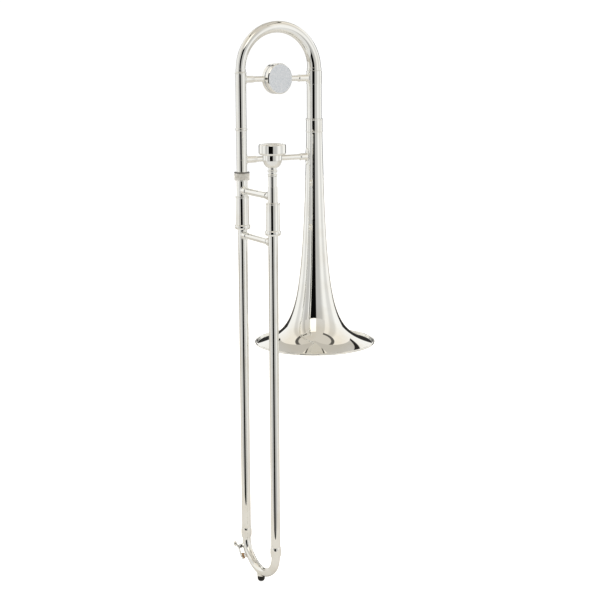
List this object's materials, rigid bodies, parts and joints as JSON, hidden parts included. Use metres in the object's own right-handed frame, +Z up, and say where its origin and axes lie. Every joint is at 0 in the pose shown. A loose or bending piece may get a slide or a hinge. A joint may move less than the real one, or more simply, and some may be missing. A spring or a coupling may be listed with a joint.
{
  "type": "slide trombone",
  "caption": "Silver-plated slide trombone with a flared bell, tuning slide, braced hand slide, counterweight, mouthpiece, slide lock and water key",
  "frame": {"origin": "centre of the bell's mouth, where a bell stand holds it", "axes": "+Z runs up the bell's axis from its mouth to the tuning slide, the bell section lies in the XZ plane with its neck at -X, and the slide's tubes lie in the plane through the neck that faces X, with the mouthpiece side at -Y"},
  "size_m": [0.2255, 0.1995, 0.8054],
  "materials": {
    "silver_plate": "silver plated, mirror polished",
    "nickel_silver": "polished nickel silver",
    "bare_brass": "drawn tube, unlacquered",
    "satin_nickel": "satin",
    "steel": "polished",
    "rubber": "moulded",
    "cork": "natural cork"
  },
  "bodies": {
    "bell_section": {"bell": "silver_plate", "bell_rim_wire": "steel", "bell_ferrule": "silver_plate", "tuning_sleeve_bell": "silver_plate", "tuning_sleeve_ring_bell": "silver_plate", "tuning_sleeve_neck": "silver_plate", "tuning_sleeve_ring_neck": "silver_plate", "neck_ferrule": "silver_plate", "neckpipe": "silver_plate", "neck_socket": "silver_plate", "upper_brace_rod": "silver_plate", "upper_brace_foot_neck": "silver_plate", "upper_brace_foot_bell": "silver_plate", "lower_brace_rod": "silver_plate", "lower_brace_foot_neck": "silver_plate", "lower_brace_foot_bell": "silver_plate", "counterweight_front": "satin_nickel", "counterweight_back": "satin_nickel", "counterweight_screw_upper": "steel", "counterweight_screw_lower": "steel"},
    "tuning_slide": {"tuning_bow": "silver_plate", "tuning_leg_neck": "nickel_silver", "tuning_leg_bell": "nickel_silver", "tuning_bow_ferrule_neck": "silver_plate", "tuning_bow_ferrule_bell": "silver_plate"},
    "lock_nut": {"bell_lock_nut": "silver_plate"},
    "inner_slide": {"slide_tenon": "silver_plate", "inner_tube_neck": "nickel_silver", "inner_tube_mouthpiece": "nickel_silver", "cork_barrel_neck": "silver_plate", "cork_barrel_mouthpiece": "silver_plate", "bumper_cork_neck": "cork", "bumper_cork_mouthpiece": "cork", "inner_brace_rod": "silver_plate", "inner_brace_foot_neck": "silver_plate", "inner_brace_foot_mouthpiece": "silver_plate", "mouthpiece_receiver": "silver_plate", "leadpipe": "bare_brass"},
    "slide_lock": {"slide_lock_ring": "silver_plate"},
    "mouthpiece": {"mouthpiece": "silver_plate"},
    "outer_slide": {"outer_tube_neck": "silver_plate", "outer_tube_mouthpiece": "silver_plate", "handle_brace_rod": "silver_plate", "handle_brace_foot_neck": "silver_plate", "handle_brace_foot_mouthpiece": "silver_plate", "lock_lug": "silver_plate", "crook": "silver_plate", "crook_ferrule_neck": "silver_plate", "crook_ferrule_mouthpiece": "silver_plate", "bumper_socket": "silver_plate", "rubber_bumper": "rubber", "water_key_saddle": "silver_plate", "water_key_screw": "steel", "water_key_spring": "steel"},
    "water_key": {"water_key_lever": "silver_plate", "water_key_cork": "cork"}
  },
  "joints": [
    {"name": "tuning_slide_pull", "type": "slide", "parent": "bell_section", "child": "tuning_slide", "axis": [0, 0, 1], "range_m": [0, 0.05]},
    {"name": "lock_nut_turn", "type": "hinge", "parent": "bell_section", "child": "lock_nut", "pos_m": [-0.118, 0, 0.254], "axis": [0, 0, 1], "continuous": true},
    {"name": "slide_angle", "type": "hinge", "parent": "bell_section", "child": "inner_slide", "pos_m": [-0.118, 0, 0.26], "axis": [0, 0, 1], "range_deg": [-20, 20]},
    {"name": "slide_pull", "type": "slide", "parent": "inner_slide", "child": "outer_slide", "axis": [0, 0, -1], "range_m": [0, 0.43]},
    {"name": "slide_lock_turn", "type": "hinge", "parent": "inner_slide", "child": "slide_lock", "pos_m": [-0.118, 0, 0.182], "axis": [0, 0, 1], "range_deg": [0, 30]},
    {"name": "water_key_press", "type": "hinge", "parent": "outer_slide", "child": "water_key", "pos_m": [-0.12742, 0.00537, -0.29904], "axis": [0.6428, 0.6275, -0.4394], "range_deg": [0, 16], "stiffness_Nm_per_rad": 0.02, "springref_deg": -22.92},
    {"name": "mouthpiece_pull", "type": "slide", "parent": "inner_slide", "child": "mouthpiece", "axis": [0, 0, 1], "range_m": [0, 0.06]}
  ]
}
